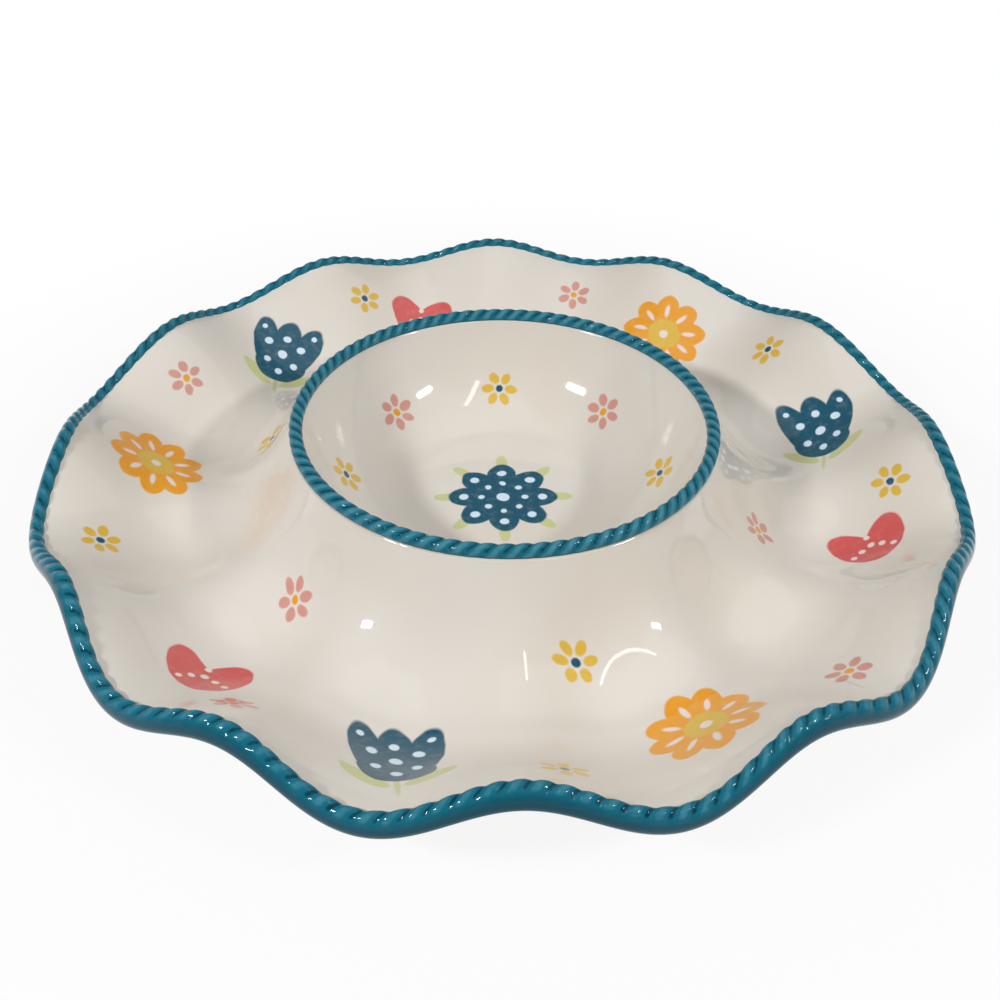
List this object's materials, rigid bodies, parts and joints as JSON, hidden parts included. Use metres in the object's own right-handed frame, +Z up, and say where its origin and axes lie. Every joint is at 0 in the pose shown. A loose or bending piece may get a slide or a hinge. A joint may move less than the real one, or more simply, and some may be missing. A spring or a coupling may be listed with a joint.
{
  "type": "chip and dip platter",
  "caption": "Round ruffled stoneware chip platter with a dip bowl rising in its middle, rope-moulded edges, a painted glaze and an unglazed foot ring.",
  "frame": {"origin": "on the bowl's axis at the table, under the middle of the foot ring", "axes": "+Z up along the bowl's axis; +X through a crest of the ruffle; the picture looks along +Y"},
  "size_m": [0.3472, 0.3472, 0.051],
  "materials": {
    "cream_glaze": "gloss cream glaze with painted motifs",
    "bowl_glaze": "gloss cream glaze with painted motifs",
    "rim_glaze": "gloss teal glaze",
    "rope_glaze": "gloss teal glaze",
    "foot_bisque": "bare fired stoneware"
  },
  "bodies": {
    "root": {"tray_body": "cream_glaze", "dip_bowl": "bowl_glaze", "rim_rope": "rim_glaze", "bowl_rope": "rope_glaze", "foot_ring": "foot_bisque"}
  },
  "joints": []
}
